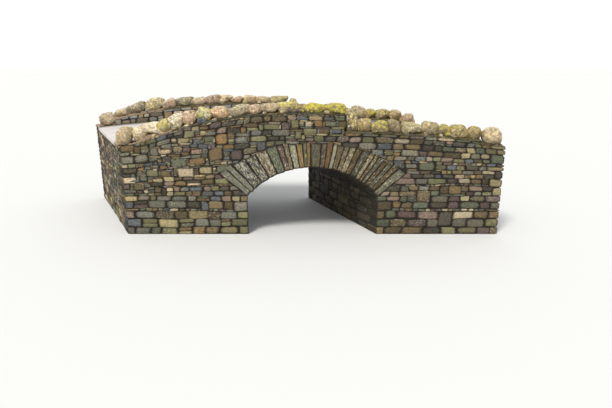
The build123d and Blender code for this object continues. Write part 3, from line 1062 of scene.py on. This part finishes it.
MORTAR_STEP = 0.03
MORTAR_HALF = 0.207
for side, name in SIDES:
    wall_shift = side * WALL_MIDDLE * SKEW
    bm = bmesh.new()
    runs = [(PARAPET_LEFT + 0.05 * side - 0.05, STEP_U - 0.03, lambda u: parapet_height(side, u) + BED),
            (STEP_U + 0.03, PARAPET_END, lambda u: road_height(u) + LOW_PARAPET + BED),
            (PARAPET_END, HALF_LENGTH - 0.02, road_height),
            (0.005 - HALF_LENGTH, PARAPET_LEFT, road_height)]
    for start, end, base_line in runs:
        steps = int((end - start) / MORTAR_STEP) + 2
        made = bmesh.ops.create_grid(bm, x_segments=steps, y_segments=12, size=1)["verts"]
        for vert in made:
            u = start + (end - start) * (vert.co.x + 1) / 2
            across = vert.co.y
            rough = noise.fractal(Vector((u * 9, across * 2.2, side * 9)), 0.7, 2, 4)
            # The left end of the front wall has the most mortar
            full = max(0.0, min(1.0, (-3.2 - u) / 0.7)) if side < 0 else 0.15
            if abs(u) > -PARAPET_LEFT:
                full = 0.1
            tall = (0.022 + 0.055 * full) * (1 - abs(across) ** (2 + 2 * full)) + rough * 0.03
            hang = 0.02 + max(0.0, 0.06 * full + 0.05 * rough)
            z = base_line(u) + (max(0.002, tall) if abs(across) < 0.99 else -hang)
            y = side * WALL_MIDDLE + across * (MORTAR_HALF + 0.008 * full + 0.012 * rough)
            # Towards the bridge's end the bed turns on to the skew
            turn = max(0.0, (abs(u) + PARAPET_LEFT) / (HALF_LENGTH + PARAPET_LEFT))
            vert.co = Vector((u - wall_shift - (y * SKEW - wall_shift) * turn, y, z))
    bmesh.ops.recalc_face_normals(bm, faces=bm.faces)
    bmesh.ops.solidify(bm, geom=bm.faces[:], thickness=0.03)
    new_piece(bm, f"coping_mortar_{name}", lime_mortar)

# Coping boulders
# Field boulders set on the parapets as they came: rounded by ice and water, some split. Cream
# and pink where the crust is clean, with yellow lichen on the crown's stones. Painted shade
# darkens and browns the lower half of each.

COPING_DEPTH = 0.44
# How far each boulder runs into its neighbours, lengths of both ends together
BOULDER_OVERLAP = 0.09
BOULDER_STONES = {
    "chalk": "c2b6a0", "cream": "b3a183", "salmon": "bb9f82", "pink": "ab9480", "tan": "a3927a",
    "straw": "a69c79", "drab": "93886f", "umber": "8c7d5f", "grey": "827a69", "russet": "968070",
    "mossy": "7d7059", "plum": "5f5150", "blue": "565862",
}
# Length, height, shape, kind, crust and yellow lichen of each, from the left, and how far some
# lean to the right in radians. One with no height leaves a gap
FRONT_LEFT = [
    (0.42, 0.35, "round", "cream", 0.8, 0.5), (0.21, 0, "", "", 0, 0),
    (0.34, 0.31, "round", "straw", 0.5, 0.8), (0.33, 0.36, "round", "drab", 1.0, 0.5),
    (0.34, 0.36, "block", "pink", 0.6, 0.2), (0.38, 0.35, "split", "straw", 0.7, 0.7, 0.5),
    (0.39, 0.31, "round", "salmon", 0.6, 0.3), (0.59, 0.26, "flat", "drab", 0.6, 0.3),
]
FRONT_CROWN = [
    (0.28, 0.24, "round", "pink", 0.6, 0.2), (0.44, 0.245, "block", "tan", 0.5, 0.3),
    (0.61, 0, "", "", 0, 0), (0.52, 0.235, "split", "mossy", 0.4, 1.18),
    (0.53, 0.235, "flat", "mossy", 0.5, 1.05),
]
# Stones of the front row that lie before or on others: u, distance from the row's middle line,
# height over the bed, size, shape, kind, crust, yellow lichen and lean
FRONT_LOOSE = [
    (-3.92, -0.05, 0.06, (0.66, 0.40, 0.26), "slab", "chalk", 0.8, 0.1, 0.42),
    (-2.76, -0.13, 0.0, (0.27, 0.20, 0.15), "block", "blue", 0.3, 0.1, 0.15),
    (-0.69, -0.08, 0.0, (0.24, 0.28, 0.14), "round", "tan", 0.5, 0.3, 0.0),
    (-0.37, -0.08, 0.0, (0.54, 0.32, 0.17), "slab", "plum", 0.25, 0.7, 0.0),
    (-0.52, 0.05, 0.055, (0.62, 0.34, 0.185), "split", "straw", 0.6, 0.9, 0.03),
]
BACK_LEFT = [
    (0.38, 0.23, "flat", "cream", 0.6, 0.1), (0.56, 0.31, "split", "grey", 0.6, 0.1, -0.2),
    (0.56, 0.37, "round", "straw", 0.7, 0.5), (0.36, 0.28, "round", "pink", 0.6, 0.2),
    (0.53, 0.26, "block", "grey", 0.5, 0.4), (0.37, 0.22, "round", "tan", 0.6, 0.3),
]
BACK_CROWN = [
    (0.43, 0.255, "round", "russet", 0.5, 0.2), (0.33, 0.23, "block", "cream", 0.6, 0.2),
    (0.33, 0.18, "round", "tan", 0.4, 0.3), (0.40, 0.20, "flat", "cream", 0.6, 0.3),
    (0.42, 0.18, "round", "tan", 0.5, 0.4), (0.45, 0.21, "flat", "drab", 0.4, 0.7),
]
# The low row takes the darker kinds: partly moss, partly painted shadow cast on it by overhanging trees
LOW_STONES = [
    (0.32, 0.32, "round", "umber", 0.5, 0.6), (0.43, 0.29, "round", "umber", 0.5, 0.8),
    (0.36, 0.33, "block", "mossy", 0.4, 0.5), (0.50, 0.27, "flat", "drab", 0.6, 0.7),
    (0.39, 0.34, "round", "drab", 0.5, 0.5), (0.30, 0.28, "split", "mossy", 0.4, 0.8),
    (0.45, 0.31, "round", "umber", 0.5, 0.7),
]
# How far from a ball each shape is, and how many flat faces it was split or ground to
BOULDER_SHAPES = {
    "round": (0.74, 5), "block": (0.55, 6), "flat": (0.60, 5), "split": (0.66, 9), "slab": (0.5, 4),
}
SLOPING_FACES = {"flat": (-0.1, -0.15, 1, 0.72), "slab": (0.25, -0.6, 0.8, 0.42)}
# Boulders ground smooth by ice and since roughened by frost: matt, mottled the same every way in
# blotches of 80 mm, under pale crust in patches of 50 mm
boulder_finish = stone_material("field_boulder", 80 * MM, (1, 1, 1), "ddd2bb", 50 * MM, 0.88, depth=0.14)


def set_boulder(bm, dice, size, looks, centre, tilt, rounds=5):
    """A boulder that fills a box of the given size, tilted along the wall about its centre, its
    underside flattened to sit on its bed. looks is its shape, kind, crust and yellow lichen."""
    shape, kind, crust, yellow = looks
    tone, grown, own, seed = marks(bm)
    verts = bmesh.ops.create_icosphere(bm, subdivisions=rounds, radius=1)["verts"]
    power, facets = BOULDER_SHAPES[shape]
    number = dice.random()
    where = Vector((dice.uniform(0, 90), dice.uniform(0, 90), dice.uniform(0, 90)))
    cuts = []
    for _ in range(facets):
        way = Vector((dice.gauss(0, 1), dice.gauss(0, 0.7), dice.gauss(0.1, 0.8))).normalized()
        cuts.append((way, dice.uniform(0.72, 0.95)))
    if shape in SLOPING_FACES:
        *way, reach = SLOPING_FACES[shape]
        cuts.append((Vector(way).normalized(), reach))
    for vert in verts:
        way = vert.co.copy()
        co = Vector([math.copysign(abs(c) ** power, c) for c in way])
        for cut, reach in cuts:
            past = co.dot(cut) - reach
            if past > 0:
                co -= cut * past * 0.88
        co *= 1 + 0.18 * noise.noise(where + way * 0.9) + 0.07 * noise.noise(where + way * 2.4)
        co.z += 0.9 * max(0.0, -0.62 - co.z)
        vert.co = co
    for axis in range(3):
        low = min(v.co[axis] for v in verts)
        high = max(v.co[axis] for v in verts)
        for vert in verts:
            vert.co[axis] = ((vert.co[axis] - low) / (high - low) - 0.5) * size[axis]
    turn = Matrix.Rotation(tilt, 3, "Y")
    base = shade(BOULDER_STONES[kind], dice, 0.08)
    for vert in verts:
        local = vert.co.copy()
        vert.co += vert.co.normalized() * (0.008 * noise.fractal(where + local * 8, 0.7, 2, 4) - 0.004)
        up = local.z / size[2] + 0.5
        # Painted shade: the lower half of each boulder is drawn darker and warmer, down to half its colour
        # at the foot
        under = 1 - 0.5 * max(0.0, 1 - up / 0.5)
        vert[tone] = (base[0] * under, base[1] * under * 0.98, base[2] * under * 0.94, 1)
        vert[grown] = (0.7 * max(0.0, 1 - up / 0.3), crust * (0.5 + 0.6 * up), yellow * (0.6 + 0.4 * up), 1)
        vert[own] = local
        vert[seed] = number
        vert.co = turn @ vert.co + centre


def finish_boulders(bm, name, *nodes):
    new_piece(bm, name, boulder_finish, nodes)


PINNINGS = ["tan", "mossy", "straw", "grey", "umber"]
PINNING_SIZE = (0.10, 0.19)


def lay_boulders(bm, dice, side, stones, circle, start_u, end_u):
    """Boulders along a circle (u, z, radius), their lengths scaled together to fill the run."""
    *middle, radius = circle
    start = math.asin((start_u - middle[0]) / radius)
    run = (math.asin((end_u - middle[0]) / radius) - start) * radius
    row = []
    while sum(s[0] for s in row) < run - stones[0][0] / 2:
        row.append(stones[len(row) % len(stones)])
    scale = run / sum(s[0] for s in row)
    passed = 0.0
    for length, height, shape, kind, crust, yellow, *lean in row:
        size = length * scale
        if passed and dice.random() < 0.7:
            # Small stones are pinned into the gap before each boulder, on both sides
            for across in (-1, 1):
                small = dice.uniform(*PINNING_SIZE)
                angle = start + passed / radius
                y = side * WALL_MIDDLE + across * (COPING_DEPTH / 2 - 0.065)
                centre = turned(middle, angle, radius + small * 0.16, y)
                looks = "split", dice.choice(PINNINGS), 0.5, 0.3
                tilt = angle + stray(dice, 0.5)
                set_boulder(bm, dice, (small, 0.13, small * 0.6), looks, centre, tilt, rounds=3)
        angle = start + (passed + size / 2) / radius
        centre = turned(middle, angle, radius + height / 2, side * WALL_MIDDLE)
        if height:
            box = (size + BOULDER_OVERLAP, COPING_DEPTH, height)
            set_boulder(bm, dice, box, (shape, kind, crust, yellow), centre, angle + sum(lean))
        passed += size


# Where the left row meets the crown's, how far the first boulder hangs over the parapet's left
# end, and each end boulder's height and distance from the end
ROW_JOINT = {-1: -1.47, 1: -1.55}
LEFT_OVERHANG = {-1: 0.11, 1: 0.0}
END_STONES = {-1: (0.45, 0.01), 1: (0.37, 0.11)}
END_DEPTH = 0.48
STEP_BOULDER = (0.37, COPING_DEPTH, 0.48)
STEP_ROOM = 0.342
for side, name in SIDES:
    dice = random.Random(150 + side)
    centre_z, radius = parapet_circle(side)
    high = (APEX, centre_z, radius + BED)
    road_middle = (0.0, ROAD_TOP - ROAD_R)
    low = (*road_middle, ROAD_R + LOW_PARAPET + BED)
    lists = (FRONT_LEFT, FRONT_CROWN) if side < 0 else (BACK_LEFT, BACK_CROWN)
    start_u = PARAPET_LEFT - LEFT_OVERHANG[side]
    rows = {"left": (lists[0], high, start_u, ROW_JOINT[side]),
            "crown": (lists[1], high, ROW_JOINT[side], STEP_U),
            "right": (LOW_STONES, low, STEP_U + STEP_ROOM, PARAPET_END)}
    for part, (stones, circle, start_u, end_u) in rows.items():
        bm = new_stones()
        lay_boulders(bm, dice, side, stones, circle, start_u, end_u)
        for u, aside, lift, size, *looks, lean in FRONT_LOOSE if side < 0 else []:
            if part != "right" and start_u < u < end_u:
                angle = math.asin((u - APEX) / high[2])
                reach = high[2] + lift + size[2] / 2
                centre = turned(high, angle, reach, side * WALL_MIDDLE + aside)
                set_boulder(bm, dice, size, looks, centre, angle + lean)
        finish_boulders(bm, f"boulders_{name}_{part}", f"coping_{name}_{part}")
    # The tall stone that closes the step leans its shoulder on the high parapet
    bm = new_stones()
    angle = math.asin((STEP_U + STEP_ROOM / 2) / low[2])
    centre = turned(road_middle, angle, low[2] + STEP_BOULDER[2] / 2, side * WALL_MIDDLE)
    set_boulder(bm, dice, STEP_BOULDER, ("round", "mossy", 0.7, 0.7), centre, angle - 0.16)
    finish_boulders(bm, f"step_boulder_{name}", f"step_stone_{name}")
    # A big boulder ends each parapet, straight on the wall's top. The one behind on the left is
    # the longest
    for way, part in WAYS:
        bm = new_stones()
        tall, off_end = END_STONES[side]
        length = END_BOULDER + (0.08 if side > way else 0)
        u = way * (HALF_LENGTH - off_end - length / 2)
        angle = math.asin(u / ROAD_R)
        centre = turned(road_middle, angle, ROAD_R + tall / 2, side * WALL_MIDDLE)
        looks = "round", "cream" if side < 0 else "tan", 0.5, 0.3
        set_boulder(bm, dice, (length, END_DEPTH, tall), looks, centre, angle)
        finish_boulders(bm, f"end_stone_{name}_{part}", f"end_boulder_{name}_{part}")

# Studio
# Pale floor, white sky, soft light from the upper left, and the camera at the photo's angle: its
# eye 5.3 m up and 14.2 m off the front face, looking down 17 degrees.

FLOOR_HALF = 60
PHOTO_WIDTH = 612
FOCAL_PIXELS = 560
SENSOR_MM = 36
EYE_OFF = 14.2
EYE_HEIGHT = 5.313
EYE_DOWN = 17.447

floor_mesh = bpy.data.meshes.new("floor")
bm = bmesh.new()
bmesh.ops.create_grid(bm, x_segments=1, y_segments=1, size=FLOOR_HALF)
bm.to_mesh(floor_mesh)
bm.free()
floor = bpy.data.objects.new("floor", floor_mesh)
bpy.context.scene.collection.objects.link(floor)
floor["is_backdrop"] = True
# Paper backdrop, pressed smooth: an even, matt off-white without any pattern
paper, tree = new_material("pale_floor")
shader = add(tree, "BsdfPrincipled", {"Base Color": linear("dcdcda"), "Roughness": 0.9})[0]
add(tree, "OutputMaterial", {"Surface": shader})
floor_mesh.materials.append(paper)

world = bpy.data.worlds.new("sky")
bpy.context.scene.world = world
world.use_nodes = True
tree = world.node_tree
tree.nodes.clear()
rays = add(tree, "LightPath")
seen = add(tree, "Math", {0: rays["Is Camera Ray"], 1: rays["Is Glossy Ray"]}, operation="MAXIMUM")[0]
seen = add(tree, "Math", {0: seen, 1: rays["Is Transmission Ray"]}, operation="MAXIMUM")[0]
soft = add(tree, "Background", {"Color": (0.95, 0.975, 1.0, 1), "Strength": 0.76})[0]
white = add(tree, "Background", {"Color": (1, 1, 1, 1), "Strength": 1.0})[0]
mixed = add(tree, "MixShader", {0: seen, 1: soft, 2: white})[0]
add(tree, "OutputWorld", {"Surface": mixed})

sun_data = bpy.data.lights.new("sun", "SUN")
sun_data.energy = 2.4
sun_data.angle = math.radians(15)
sun_data.color = (1.0, 0.97, 0.92)
sun = bpy.data.objects.new("sun", sun_data)
sun.rotation_euler = (math.radians(32), 0, math.radians(-30))
bpy.context.scene.collection.objects.link(sun)

camera_data = bpy.data.cameras.new("camera")
camera_data.sensor_width = SENSOR_MM
camera_data.lens = FOCAL_PIXELS / PHOTO_WIDTH * SENSOR_MM
camera = bpy.data.objects.new("camera", camera_data)
camera.location = (HALF_WIDTH * SKEW - 0.17, -HALF_WIDTH - EYE_OFF, EYE_HEIGHT)
camera.rotation_euler = (math.radians(90 - EYE_DOWN), 0, 0)
bpy.context.scene.collection.objects.link(camera)
bpy.context.scene.camera = camera
bpy.context.scene.view_settings.view_transform = "Standard"

bpy.data.meshes.remove(chip)
low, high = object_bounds()
